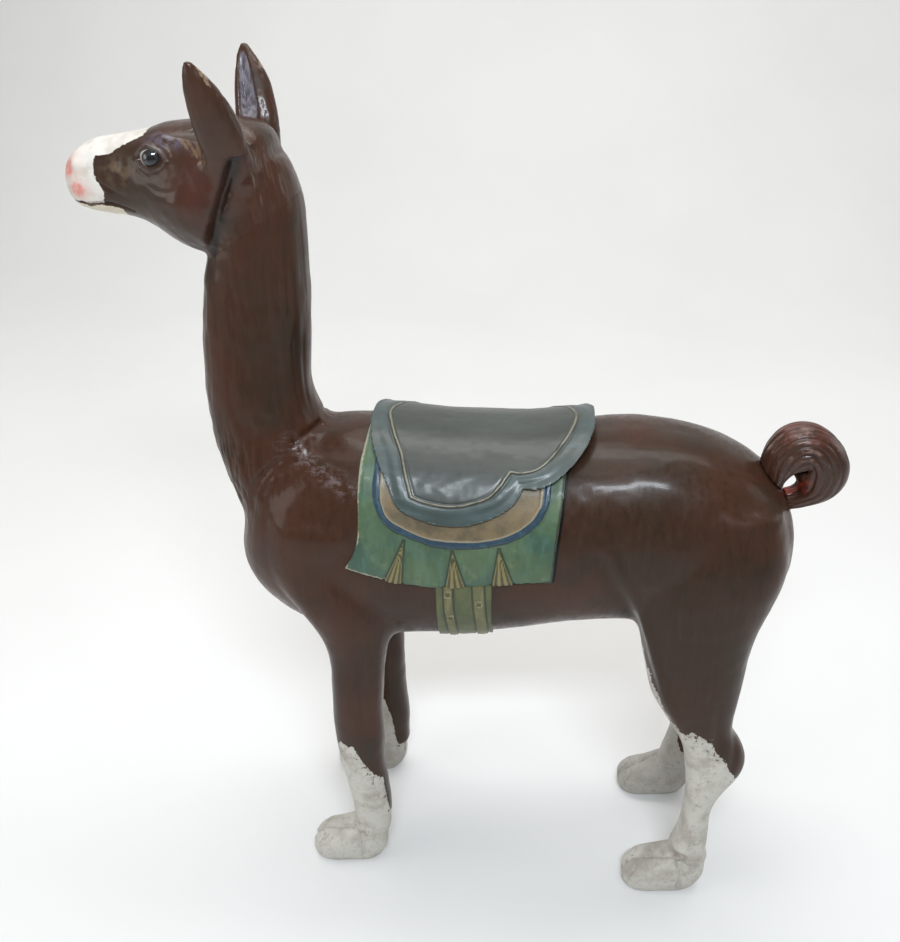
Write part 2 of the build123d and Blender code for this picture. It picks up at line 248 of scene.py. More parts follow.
def away(points, line):
    """Distance from every point to a line of straight runs, and how far along it from 0 to 1."""
    nearest = np.full(len(points), np.inf)
    along = np.zeros(len(points))
    lengths = np.linalg.norm(np.diff(line, axis=0), axis=1)
    before = np.concatenate([[0], np.cumsum(lengths)])
    for i, (a, b) in enumerate(zip(line, line[1:])):
        run = b - a
        t = np.clip((points - a) @ run / max(run @ run, 1e-12), 0, 1)
        gap = np.linalg.norm(points - a - t[:, None] * run, axis=1)
        closer = gap < nearest
        nearest[closer] = gap[closer]
        along[closer] = (before[i] + t[closer] * lengths[i]) / before[-1]
    return nearest, along


SIDE, TOP = (1, 0, 1), (1, 1, 0)


def groove(points, line, width, depth, fade=True, seen=(1, 1, 1)):
    """A cut along a line with a rounded floor: a bell curve of the distance from the line,
    as deep in the middle of the line as asked and shallower towards its ends. Seen from the
    side or the top, the distance leaves out how deep in the view a point lies."""
    gap, along = away(points * seen, line * seen)
    ends = np.sin(pi * np.clip(along, 0.02, 0.98)) ** 0.4 if fade else 1
    return -depth * MM * ends * np.exp(-(gap / (width * MM)) ** 2)


def mound(points, place, width, height):
    """A soft bump round one place in millimetres, or a dent when the height is negative."""
    gap = np.linalg.norm((points - np.asarray(place) * MM) / (np.asarray(width) * MM), axis=1)
    return height * MM * np.exp(-gap ** 2)


def rise(value, run):
    """0 below zero, 1 above the run, and a straight ramp between."""
    return np.clip(value / run, 0, 1)


def bell(value, width):
    """1 at zero, falling away on both sides as the exponential of minus the square."""
    return np.exp(-(value / width) ** 2)


def folded(points):
    """The same points with both sides of the llama laid on one: Y becomes its size."""
    return points * (1, 0, 1) + np.abs(points) * (0, 1, 0)


# %% [markdown]
# ## The body's skin
# All the body blocks are wrapped together in one net. The shoulders and haunches meet the
# ribs with a hard line in the frame, so the net is relaxed, most of all at those meetings,
# until the muscle flows. The head and the ears get finer nets later.

# %% Wrap and relax the body
sides = ("left", "right")
body_nodes = ["torso_core_plank", "neck_block", "head_block", "plank_dowels", "neck_dowels", "head_dowels",
              "leg_dowels", "hock_dowels", "ankle_dowels"]
for side in sides:
    body_nodes.append(f"torso_{side}_plank")
    body_nodes += [f"{part}_{side}" for part in (
        "ear", "eye", "foreleg", "forefoot", "thigh", "hind_shank", "hindfoot")]
body_voxel = 2.0 * MM
points, quads = skin(body_nodes, body_voxel)

# where pieces meet: the middle of each meeting and how wide it is, in millimetres
meetings = [
    ((-190, 60, 540), 60), ((-150, 55, 600), 55), ((-240, 40, 540), 60), ((-110, 75, 400), 45),
    ((-90, 60, 370), 40), ((285, 60, 575), 60), ((340, 60, 560), 55), ((215, 75, 430), 50),
    ((225, 60, 385), 45), ((-235, 30, 830), 34), ((-190, 20, 880), 30), ((-215, 60, 500), 50),
    ((330, 60, 430), 40), ((-222, 54, 902), 26), ((-232, 50, 912), 20)]
soften = np.zeros(len(points))
for place, width in meetings:
    soften += mound(folded(points), place, width, 1 / MM)
scale = (2.0 * MM / body_voxel) ** 2
points = relax(points, quads, 4, 0.8)
points = relax(points, quads, int(90 * scale), np.clip(soften, 0, 1))
print("body net:", len(points), "points,", len(quads), "quads")


# %% [markdown]
# ## Broad carving on the body
# The knife leaves soft flats all over. The neck has long shallow grooves that run with the
# hair, and short deep cuts behind the cheek and at the chest. A few long creases mark the
# shoulder, the withers, the groin and the thigh.

# %% Broad carving
# each crease: the line it follows in millimetres, its width and its depth; a ridge is a negative depth
long_creases = [
    ([(-240, 60, 534), (-234, 65, 557), (-214, 65, 586), (-198, 60, 597)], 4.0, 3.4),
    ([(-226, 66, 552), (-212, 68, 578), (-190, 64, 590), (-172, 62, 592)], 4.0, 2.2),
    ([(-250, 58, 545), (-226, 66, 575), (-198, 63, 597)], 3.0, 2.0),
    ([(-156, 12, 624), (-166, 26, 620), (-180, 44, 616), (-190, 52, 609)], 3.6, 3.2),
    ([(-217, 64, 912), (-222, 63, 902), (-231, 58, 886), (-243, 54, 858), (-253, 42, 832),
      (-259, 30, 820)], 6.0, 7.5),
    ([(-212, 60, 900), (-222, 58, 880), (-234, 54, 856), (-246, 42, 828)], 11.0, 3.0),
    ([(148, 98, 520), (163, 100, 492), (186, 92, 447), (203, 96, 405), (222, 100, 345)], 7.0, 3.0),
    ([(160, 99, 524), (175, 101, 497), (199, 92, 447), (216, 98, 401), (238, 102, 335),
      (262, 100, 285)], 6.0, -3.4),
    ([(-78, 96, 420), (-84, 98, 390), (-90, 97, 350)], 8.0, 2.2),
    ([(-128, 100, 500), (-150, 98, 470), (-160, 96, 430), (-158, 96, 380)], 12.0, 2.0),
    ([(-112, 98, 330), (-118, 104, 280), (-112, 104, 235)], 7.0, 1.8),
    ([(295, 98, 330), (302, 104, 280), (300, 102, 240), (290, 100, 200)], 6.0, 1.8),
    ([(322, 92, 300), (326, 96, 250), (318, 96, 205)], 5.0, 1.4)]
# seen from above: the split between the two toes, and the edge of each nail
split = [(-8, 80), (12, 79), (34, 84), (58, 93), (74, 104)]
nail = [(6, -9), (14, -7), (18, 0), (14, 7), (6, 9)]
toe_creases = []
for tip in (-200, 216):
    toe_creases.append(([(tip + x, y, 0) for x, y in split], 3.0, 5.0))
    toe_creases += [([(tip + x, toe + y, 0) for x, y in nail], 1.6, 1.3) for toe in (92, 68)]
foot_top = 0.075


def hair_fields(p):
    """The long strands and the short tufts of the neck: random fields over the angle round
    the neck's middle and the height, drawn out far more along the hair than across it."""
    turn = np.arctan2(folded(p)[:, 1], -(p[:, 0] + 0.225)) * 0.06
    waves = p[:, 2] * 0.10 + 0.02 * np.sin(p[:, 2] * 21)
    strands = field(np.stack([turn, waves, turn * 0], axis=1), 7, 7)
    slant = [turn * 1.6 + p[:, 0] * 0.35, p[:, 2] * 0.30 + turn, turn * 0]
    return strands, field(np.stack(slant, axis=1), 4.2, 9)


def broad_carving(p):
    """Height of every body point from the flats, the hair grooves and the long creases."""
    q = folded(p)
    strands, hair = hair_fields(p)
    height = 1.1 * MM * field(p, (36, 32, 44), 3) + 0.3 * MM * field(p, 14, 4)
    x, z = p[:, 0], p[:, 2]
    neck_front = 1 / (1 + np.exp((x + 0.165) / (12 * MM))) / (1 + np.exp(-(z - 0.52) / (25 * MM)))
    neck_front *= 1 / (1 + np.exp((z - 0.885) / (8 * MM))) / (1 + np.exp(-(x + 0.300) / (4 * MM)))
    height -= 1.1 * MM * neck_front * np.clip(strands, -0.3, 1)
    tufted = mound(q, (-262, 48, 560), (34, 40, 50), 1 / MM) + mound(q, (-201, 40, 880), (15, 22, 36), 1 / MM)
    tufted += mound(q, (-232, 62, 596), (40, 30, 34), 0.8 / MM)
    height -= 2.2 * MM * np.clip(tufted, 0, 1) * np.clip(hair - 0.05, 0, 1)
    off_middle, off_floor = q[:, 1] > 0.012, z > 0.012
    for line, width, depth in long_creases:
        height += groove(q, curve(line), width, depth, seen=SIDE) * off_middle
    for line, width, depth in toe_creases:
        height += groove(q, curve(line), width, depth, False, TOP) * off_floor * (z < foot_top)
    height += mound(q, (-272, 46, 862), (26, 22, 26), 3.5) + mound(q, (-246, 60, 574), (26, 22, 26), 3.0)
    height += mound(q, (-176, 62, 560), (26, 30, 40), 2.5)
    return height


points = points + normals(points, quads) * broad_carving(points)[:, None]
points = np.clip(points, np.array(cad_low), np.array(cad_high))

# %% [markdown]
# ## Sawing the skin into its pieces
# The glue planes of the frame are repeated here: each piece is a copy of the skin that is
# cut by a few planes, and every cut is closed with a flat cap. Two neighbours share the same
# points on their plane, so the joint is only a hairline, as under real paint.

# %% Planes and the saw
level_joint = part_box("foreleg_left")[1].z
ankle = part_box("forefoot_left")[1].z
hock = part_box("hind_shank_left")[1].z
plank_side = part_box("torso_core_plank")[1].y
neck_lean, head_lean = radians(114), radians(125)
neck_plane = (Vector((-0.2222, 0, 0.5898)), Vector((cos(neck_lean), 0, sin(neck_lean))))
head_plane = (Vector((-0.2266, 0, 0.8340)), Vector((cos(head_lean), 0, sin(head_lean))))
ear_lean, ear_cut_height = radians(20), 0.031
outwards = {"left": -1, "right": 1}
ear_planes = {}
for side, out in outwards.items():
    up_the_ear = Vector((0, out * sin(ear_lean), cos(ear_lean)))
    ear_planes[side] = (Vector((0, out * 0.0429, 0.8901)) + ear_cut_height * up_the_ear, up_the_ear)


def level(z, up=True):
    return Vector((0, 0, z)), Vector((0, 0, 1 if up else -1))


def across(y, out):
    return Vector((0, y, 0)), Vector((0, out, 0))


def lengthways(x, back=True):
    return Vector((x, 0, 0)), Vector((1 if back else -1, 0, 0))


def flipped(plane):
    return plane[0], -plane[1]


def mesh_from(name, points, faces):
    mesh = bpy.data.meshes.new(name)
    mesh.from_pydata(points, [], faces)
    mesh.update()
    return mesh


def shown(name, mesh):
    """A piece in the scene, at the origin, with smooth shading."""
    piece = bpy.data.objects.new(name, mesh)
    scene.collection.objects.link(piece)
    mesh.polygons.foreach_set("use_smooth", np.ones(len(mesh.polygons), bool))
    return piece


def saw(name, source, planes):
    """The part of a closed mesh that lies ahead of every plane, with a flat cap on each cut.
    The rim of each cut is marked sharp, so that the shading stops at it."""
    bm = bmesh.new()
    bm.from_mesh(source)
    for place, ahead in planes:
        every = bm.verts[:] + bm.edges[:] + bm.faces[:]
        cut = bmesh.ops.bisect_plane(bm, geom=every, plane_co=place, plane_no=ahead, dist=1e-7,
                                     clear_inner=True)
        rim = [e for e in cut["geom_cut"] if isinstance(e, bmesh.types.BMEdge) and e.is_boundary]
        for edge in rim:
            edge.smooth = False
        if rim:
            bmesh.ops.triangle_fill(bm, use_beauty=False, use_dissolve=False, edges=rim, normal=-ahead)
    mesh = bpy.data.meshes.new(name)
    bm.to_mesh(mesh)
    bm.free()
    return mesh


def points_of(mesh, what="co"):
    """The place of every point as an array, or its normal."""
    flat = np.empty(len(mesh.vertices) * 3)
    mesh.vertices.foreach_get(what, flat)
    return flat.reshape(-1, 3)


def put_points(mesh, points):
    mesh.vertices.foreach_set("co", np.ascontiguousarray(points, float).ravel())
    mesh.update()


def push(mesh, height):
    """Every point moves along its normal by its own height."""
    put_points(mesh, points_of(mesh) + points_of(mesh, "normal") * np.asarray(height)[:, None])


def finer(mesh):
    """The same mesh with every face split in four, as a new mesh."""
    holder = bpy.data.objects.new("holder", mesh)
    scene.collection.objects.link(holder)
    split = holder.modifiers.new("split", "SUBSURF")
    split.subdivision_type = "SIMPLE"
    split.levels = split.render_levels = 1
    graph = bpy.context.evaluated_depsgraph_get()
    made = bpy.data.meshes.new_from_object(holder.evaluated_get(graph))
    bpy.data.objects.remove(holder)
    return made


def note(mesh, **notes):
    """Named numbers for every point of the mesh, which a material reads by name."""
    for name, values in notes.items():
        column = mesh.attributes.new(name, "FLOAT", "POINT")
        column.data.foreach_set("value", np.asarray(values, np.float32))


whole = mesh_from("whole", points, quads)
fore_hind = 0.05
no_ears = [flipped(plane) for plane in ear_planes.values()]
meshes = {
    "torso_core_plank": saw("core", whole, [across(-plank_side, 1), across(plank_side, -1),
                                            flipped(neck_plane), level(level_joint)]),
    "neck_block": saw("neck", whole, [neck_plane, flipped(head_plane)]),
    "head_block": saw("head", whole, [head_plane] + no_ears)}
for side, out in outwards.items():
    half = saw("half", whole, [across(0, out), level(level_joint, False)])
    fore = saw("fore", half, [lengthways(fore_hind, False)])
    hind = saw("hind", half, [lengthways(fore_hind)])
    for part, source, planes in (
            (f"torso_{side}_plank", whole,
             [across(out * plank_side, out), flipped(neck_plane), level(level_joint)]),
            (f"foreleg_{side}", fore, [level(ankle)]),
            (f"forefoot_{side}", fore, [level(ankle, False)]),
            (f"ear_{side}", whole, [across(0, out), ear_planes[side]]),
            (f"thigh_{side}", hind, [level(hock)]),
            (f"hind_shank_{side}", hind, [level(hock, False), level(ankle)]),
            (f"hindfoot_{side}", hind, [level(ankle, False)])):
        meshes[part] = saw(part, source, planes)
for name, mesh in meshes.items():
    print(name, len(mesh.polygons), "faces")

# %% [markdown]
# ## The face
# The head net is split once more, to squares of a millimetre, for the small cuts. The lids
# close over a real eyeball: inside the almond the wood sinks behind the ball, and two
# ridges and a crease follow its edge. The mouth is a deep cut that runs round the nose.

# %% Carve the head
ball_place, ball_size = (-308.4, 28.5, 907.0), 13.6
almond = [(-326, 34, 906), (-319, 36, 914), (-308, 38, 918), (-297, 42, 914), (-290, 45, 906)]
lower_lid = [(-326, 34, 906), (-319, 38, 899), (-308, 43, 895.5), (-297, 45, 899), (-290, 45, 906)]
mouth = [(-402, 0, 861), (-400, 12, 861), (-396, 20, 860), (-387, 24, 858), (-369, 28, 860),
         (-353, 30, 858), (-338, 30, 852)]
# each crease of the face: its line, its width and its depth
face_creases = [
    ([(-371, 33, 884), (-360, 34, 876), (-346, 36, 869), (-336, 37, 858)], 2.0, 1.9),
    ([(-358, 36, 890), (-348, 38, 880), (-338, 39, 872)], 1.8, 1.2),
    ([(-326, 33, 918), (-308, 34, 925), (-290, 40, 919), (-280, 45, 908)], 1.6, 1.5),
    ([(-322, 38, 895), (-308, 43, 889), (-292, 47, 893)], 1.8, 1.3),
    ([(-316, 46, 884), (-300, 50, 878), (-282, 53, 880)], 2.4, 1.1),
    ([(-268, 52, 905), (-258, 56, 880), (-262, 52, 852)], 5.0, 1.3),
    ([(-398, 9, 884), (-401, 4, 876), (-402, 2, 866)], 2.0, 1.4)]


def carve_head(mesh):
    p = points_of(mesh)
    q = folded(p)
    height = 0.35 * MM * field(p, (9, 9, 7), 21)
    height += groove(q, curve(mouth), 1.9, 3.4, fade=False)
    height += -groove(q, curve([(x, y + 1, z - 6) for x, y, z in mouth[1:]]), 4, 1.2)
    for line, width, depth in face_creases:
        height += groove(q, curve(line), width, depth)
    height -= groove(q, curve([(-330, 30, 919), (-309, 31, 929), (-286, 39, 925)]), 4.5, 1.8)
    height -= groove(q, curve(almond), 2.0, 2.2, False) + groove(q, curve(lower_lid), 1.7, 1.6, False)
    height += mound(q, (-399, 16, 890), (5.5, 5.0, 4.0), -5.0) + mound(q, (-391, 21, 897), (8, 8, 5), 2.2)
    for step in range(7):
        x, z = -283 + 7 * step, 925 + 1.3 * step
        height += groove(q, curve([(x, 30, z + 12), (x + 12, 42, z + 1), (x + 20, 52, z - 16)]), 1.5, 0.8)
    push(mesh, height)
    p = points_of(mesh)
    q = folded(p)
    ball = np.asarray(ball_place) * MM
    u, v = (p[:, 0] + 0.308) / 0.0175, (p[:, 2] - 0.9068) / 0.0105
    open_here = np.clip((1.0 - u * u - np.abs(v) ** 1.4) / 0.30, 0, 1) * (q[:, 1] > 0.022)
    open_here = open_here * open_here * (3 - 2 * open_here)
    reach = q - ball
    size = np.linalg.norm(reach, axis=1)
    sunk = np.minimum(size, (ball_size - 2.2) * MM)
    factor = (1 - open_here + open_here * sunk / np.maximum(size, 1e-9))[:, None]
    moved = ball + reach * factor
    moved[:, 1] *= np.where(p[:, 1] < 0, -1, 1)
    put_points(mesh, np.where(open_here[:, None] > 0, moved, p))


meshes["head_block"] = finer(meshes["head_block"])
carve_head(meshes["head_block"])
print("head:", len(meshes["head_block"].polygons), "faces")


# %% [markdown]
# ## Eyeballs
# Each eyeball is a ball of rings. Latitude runs from pole to pole and longitude round it,
# and a slight bulge in the middle stands for the cornea. Its point faces sideways.

# %% Eyeballs
def ball(place, size, outward, rows=48, columns=72):
    """A sphere from a grid of angles, as points in rows and columns; its pole looks outward,
    and 5 percent more radius round that pole makes the bulge."""
    down, turn = np.meshgrid(np.linspace(0.02, pi - 0.02, rows), np.linspace(0, 2 * pi, columns, False),
                             indexing="ij")
    radius = size * (1 + 0.05 * np.exp(-(down / 0.55) ** 2))
    p = np.stack([radius * np.sin(down) * np.cos(turn), outward * radius * np.cos(down),
                  radius * np.sin(down) * np.sin(turn)], axis=2).reshape(-1, 3)
    row, column = np.meshgrid(np.arange(rows - 1), np.arange(columns), indexing="ij")
    a = (row * columns + column).ravel()
    b = (row * columns + (column + 1) % columns).ravel()
    quads = np.stack([a, b, b + columns, a + columns], axis=1)
    if outward > 0:
        quads = quads[:, ::-1]
    caps = [list(range(columns)), list(range((rows - 1) * columns, rows * columns))]
    caps[0 if outward < 0 else 1].reverse()
    return (p + np.asarray(place)) * MM, quads.tolist() + caps


for side, out in outwards.items():
    meshes[f"eye_{side}"] = mesh_from("eye", *ball(np.array(ball_place) * (1, out, 1), ball_size, out))


# %% [markdown]
# ## Ears
# An ear is a leaf that leans outwards. Its own frame turns the lean away, so that a share of
# the height and a share of the width say where the hollow lies. The hollow faces the other
# ear and has a thin rim.

# %% Ears
ear_root, ear_tall, ear_half = np.array((-223.8, 42.9, 890.1)), 116.0, 23


def ear_frame(p):
    """How far up an ear each point is, its share across from -1 to 1, and how far it is out
    from the ear's middle sheet, in millimetres."""
    q = folded(p) / MM - ear_root
    up = (q[:, 2] * cos(ear_lean) + q[:, 1] * sin(ear_lean)) / ear_tall
    out = q[:, 1] * cos(ear_lean) - q[:, 2] * sin(ear_lean)
    heights = (0, 0.26, 0.52, 0.76, 0.92, 1)
    centre = ear_tall * np.interp(up, heights, (0, -0.02, -0.06, -0.11, -0.15, -0.165))
    half = ear_half * np.interp(up, heights, (0.96, 1, 0.9, 0.66, 0.34, 0.12))
    return up, (q[:, 0] - centre) / half, out


for side in sides:
    ear = meshes[f"ear_{side}"] = finer(meshes[f"ear_{side}"])
    p = points_of(ear)
    up, across_ear, out = ear_frame(p)
    inward = np.clip(-out / 2.5, 0, 1)
    leaf = np.clip(1.25 - 1.25 * np.abs((across_ear + 0.26) / 0.5) ** 3, 0, 1)
    hollow = leaf * rise(up - 0.30, 0.16) * rise(0.97 - up, 0.2)
    height = -7.0 * MM * hollow * inward * np.interp(up, (0, 0.6, 1), (0.9, 1, 0.4))
    height += 0.5 * MM * field(p, (14, 14, 22), 31)
    height += groove(folded(p), curve([(-222, 62, 920), (-230, 72, 950), (-240, 82, 985)]), 4, 1.6)
    height -= 0.6 * MM * np.clip(field(p * (1, 1, 0.16), 3.6, 32), 0, 1)
    push(ear, height * rise(up - 0.275, 0.05))
    note(ear, hollow=hollow * inward, rim=rise(across_ear - 0.80, 0.15) * rise(up - 0.62, 0.2))
print("ear:", len(meshes["ear_left"].polygons), "faces")

# %% [markdown]
# ## The curled tail
# The strands of hair follow the curl. Every point is measured from the curl's middle line:
# how far along it lies, and its angle round the line. A groove lies at every thirtieth
# degree and drifts a little on the way, as a hand does.

# %% Tail
tail_line = curve([(330, 0, 550), (338, 0, 566), (343, 0, 596), (364, 0, 614), (382, 0, 599),
                   (382, 0, 568), (363, 0, 545)], 10)


def tail_frame(p):
    """Share along the curl, angle round its middle line (0 on the outside of the curl)."""
    gap, along = away(p * (1, 0, 1), tail_line)
    centre = np.array((0.362, 0, 0.578))
    steps = np.linspace(0, 1, len(tail_line))
    place = np.stack([np.interp(along, steps, tail_line[:, k]) for k in range(3)], axis=1)
    outward = np.sign(((p - place) * (place - centre) * (1, 0, 1)).sum(axis=1))
    return along, np.arctan2(p[:, 1], outward * gap)


tail_points, tail_quads = skin(["tail_curl"], (1.0) * MM, 0)
tail_points = relax(tail_points, tail_quads, 6, 0.8)
along_tail, round_tail = tail_frame(tail_points)


def over_curl(stretch_along, stretch_round, size, seed):
    """A random field over the curl, drawn out by how little the two measures count."""
    place = [along_tail * stretch_along, round_tail * stretch_round, 0 * along_tail]
    return field(np.stack(place, axis=1), size, seed)


wander = 0.9 * over_curl(1, 0.16, 200, 41)
strand = 0.5 + 0.5 * np.cos(17 * round_tail + 3.2 * wander + 3.0 * along_tail)
weak = 0.55 + 0.45 * over_curl(0.2, 0.1, 50, 44)
deep = rise(along_tail, 0.10) * np.clip(weak, 0.1, 1)
tail_height = -1.9 * MM * deep * strand ** 3 + 0.5 * MM * field(tail_points, 12, 42)
tail_height -= 0.5 * MM * deep * np.clip(over_curl(0.04, 0.02, 1.6, 43), 0, 1)
tail_points = tail_points + normals(tail_points, tail_quads) * tail_height[:, None]
tip = rise(along_tail - 0.80, 0.2) ** 2
tail_points = tail_points + tip[:, None] * np.array((-11, 0, 2)) * MM
meshes["tail_curl"] = mesh_from("tail_curl", tail_points, tail_quads)
note(meshes["tail_curl"], strand=strand * deep, inner=rise(np.abs(round_tail) - 2.0, 0.6), along=along_tail)
print("tail:", len(tail_quads), "faces")

# %% [markdown]
# ## Blanket, pad, saddle and girth
# The cloth is only carved wood, so each layer is a net of its own with a low relief. What is
# painted on it follows outlines in the side view. For each outline, one signed number says
# how far a point lies inside it, in millimetres, and both the relief and the paint use it.


# %% Outlines
def inside(u, v, corners):
    """How far each (u, v) lies inside a closed outline; outside it the number is negative.
    A point is inside when a ray from it crosses the outline an odd number of times."""
    a = np.asarray(corners, float)
    b = np.roll(a, -1, axis=0)
    gap = np.full(len(u), np.inf)
    odd = np.zeros(len(u), bool)
    for (x0, y0), (x1, y1) in zip(a, b):
        w, h = x1 - x0, y1 - y0
        t = np.clip(((u - x0) * w + (v - y0) * h) / (w ** 2 + h ** 2), 0, 1)
        gap = np.minimum(gap, np.hypot(u - x0 - t * w, v - y0 - t * h))
        if y0 != y1:
            odd ^= ((y0 > v) != (y1 > v)) & (u < w * (v - y0) / h + x0)
    return np.where(odd, gap, -gap)


def on_barrel(rows):
    """Places in the side view, in millimetres, from shares of the barrel's length and half height."""
    return [(-262.85 + 620 * s, 492 + 129 * t) for s, t in rows]


def bent(rows, steps=6):
    """A smooth line through places in the side view."""
    return [(x, z) for x, _, z in curve([(x, 0, z) for x, z in rows], steps) / MM]


pad_edge = bent(on_barrel([
    (0.270, 2.0), (0.270, 0.80), (0.278, 0.53), (0.297, 0.41), (0.334, 0.325), (0.376, 0.264),
    (0.447, 0.264), (0.505, 0.333), (0.542, 0.442), (0.565, 0.574), (0.574, 0.80), (0.574, 2.0)]), 8)
blanket_edge = (
    on_barrel([(0.247, 2), (0.246, 0.95), (0.242, 0.7), (0.243, 0.25)])
    + bent(on_barrel([(0.219, -0.03), (0.276, -0.10), (0.355, -0.155), (0.477, -0.10), (0.586, -0.03)]), 8)
    + on_barrel([(0.590, 0.34), (0.597, 0.71), (0.6, 0.95), (0.6, 2)]))
saddle_edge = on_barrel([
    (0.238, 2), (0.238, 1.2), (0.26, 1), (0.288, 0.8), (0.305, 0.66), (0.342, 0.52), (0.387, 0.465),
    (0.447, 0.488), (0.486, 0.566), (0.519, 0.69), (0.527, 0.775), (0.569, 0.806), (0.597, 0.899),
    (0.625, 1.02), (0.648, 1.16), (0.648, 2)])
# the piping: how far back, and how far down and out from the top of the saddle
piping_edge = (
    bent([(-91, -60), (-89, 0), (-84, 24), (-77, 50), (-67, 82), (-60, 117), (-53, 146)])
    + bent([(-52.5, 147), (-38, 153), (-15, 157), (6, 153), (28, 141), (41, 121)])
    + [(49, 101)] + bent([(50, 100), (63, 101), (83, 89), (103, 49), (116, 0), (117, -60)]))


def inside_side_view(p, corners):
    return inside(p[:, 0] / MM, p[:, 2] / MM, corners)


def seat_inside(p):
    q = folded(p) / MM
    return inside(q[:, 0], q[:, 1] + 630 - q[:, 2], piping_edge)


pleats = [((-61, 527), (-80, 480), (-65, 479)), ((-8, 519), (-13, 476), (4, 478)),
          ((42, 525), (38, 484), (56, 486))]


def pleat_inside(p):
    """How far inside the nearest of the upright wedges a point lies, and its share across it."""
    x, z = p[:, 0] / MM, p[:, 2] / MM
    best, share = np.full(len(p), -99.0), np.zeros(len(p))
    for apex, left, right in pleats:
        t = (apex[1] - z) / (apex[1] - (left[1] + right[1]) / 2)
        middle = apex[0] + t * ((left[0] + right[0]) / 2 - apex[0])
        half = np.maximum(t, 0.02) * (right[0] - left[0]) / 2 * 1.15
        room = np.minimum(half - np.abs(x - middle), t * 45)
        here = room > best
        best[here], share[here] = room[here], ((x - middle) / half)[here]
    return best, share


def layer(part, voxel, relief):
    """Both halves of a layer as one relaxed net with its relief, sawn along the middle."""
    voxel = voxel
    net_points, net_quads = skin([f"{part}_left", f"{part}_right"], voxel * MM, 0.12 * MM)
    net_points = relax(net_points, net_quads, 2, 0.8)
    outward = normals(net_points, net_quads)
    shell = np.abs(outward[:, 0]) < 0.6
    net_points = net_points + outward * (relief(net_points, outward) * shell)[:, None]
    net = mesh_from(part, net_points, net_quads)
    for side, out in outwards.items():
        meshes[f"{part}_{side}"] = saw(part, net, [across(0, out)])
    print(part, len(meshes[f"{part}_left"].polygons), "faces a side")


def outer_side(p, outward):
    """1 where a point faces away from the barrel's middle line, 0 where it faces inwards."""
    away_from_core = p * (0, 1, 1) - np.array((0, 0, 0.49))
    return rise((outward * away_from_core).sum(axis=1), 0.02)


def blanket_relief(p, outward):
    room, share = pleat_inside(p)
    height = 1.7 * rise(room, 1.2) - 1.3 * rise(room, 2) * (0.5 + 0.5 * np.cos(share * 9)) ** 2
    height -= 1.6 * bell(room + 1.5, 1.5) * (room < 1)
    height += 0.5 * field(p, (16, 16, 30), 51) + 0.25 * field(p, 7, 52)
    height -= 0.6 * bell(inside_side_view(p, blanket_edge) - 3, 1.2)
    return MM * height * outer_side(p, outward)


def pad_relief(p, outward):
    edge = inside_side_view(p, pad_edge)
    height = 0.7 * bell(edge - 8.6, 1.2) - 0.9 * bell(edge - 6.5, 1.1)
    height += 0.35 * field(p, (14, 14, 8), 54) - 0.8 * rise(4 - edge, 4) ** 2
    return MM * height * outer_side(p, outward)


def saddle_relief(p, outward):
    room = seat_inside(p)
    height = 0.9 * bell(room, 1.4) - 1.1 * bell(room + 3.0, 1.2) - 0.5 * bell(room - 2.8, 1.1)
    height += 0.45 * field(p, (30, 22, 14), 56) + 0.2 * field(p, 8, 57)
    height -= 1.1 * rise(-room - 11, 6)
    return MM * height * outer_side(p, outward)


straps = [[(-13, 480), (-12.5, 440), (-10, 404)], [(20, 484), (22, 440), (24, 410)]]
buckles = [(-13, 462), (-10.5, 424), (21.5, 450)]


def strap_inside(p):
    x, z = p[:, 0] / MM, p[:, 2] / MM
    best = np.full(len(p), -99.0)
    for line, half in zip(straps, (4.8, 6.0)):
        a = np.asarray(line, float)
        best = np.maximum(best, half - np.abs(x - np.interp(z, a[::-1, 1], a[::-1, 0])))
    return best


def buckle_inside(p):
    """How far inside the nearest buckle; the buckles are carved on the flanks only."""
    x, z = p[:, 0] / MM, p[:, 2] / MM
    room = np.max([4.4 - np.maximum(np.abs(x - bx), np.abs(z - bz) * 0.8) for bx, bz in buckles], axis=0)
    return room * (np.abs(p[:, 1]) > 0.06)


def girth_relief(p, outward):
    room, tag = strap_inside(p), buckle_inside(p)
    height = 1.2 * rise(room, 0.9) - 0.9 * bell(room - 2.0, 0.6) - 0.9 * bell(room + 1.2, 1.0)
    height += 0.9 * rise(tag, 0.8) - 1.0 * rise(tag - 1.8, 0.8)
    height += 0.3 * field(p, 10, 59)
    return MM * height * outer_side(p, outward)


# %% Make the layers
layer("blanket", 1.6, blanket_relief)
layer("pad", 1.4, pad_relief)
layer("saddle", 1.4, saddle_relief)
girth_points, girth_quads = skin(["girth_band"], (1.1) * MM, 0)
girth_points = relax(girth_points, girth_quads, 2, 0.8)
girth_out = normals(girth_points, girth_quads)
girth_points = girth_points + girth_out * girth_relief(girth_points, girth_out)[:, None]
meshes["girth_band"] = mesh_from("girth_band", girth_points, girth_quads)

# %% [markdown]
# ## Where each paint lies
# Real paint edges are ragged, so no edge is drawn. Each point only stores how far it lies
# from an edge, in millimetres, and the material adds noise to that number before it decides.

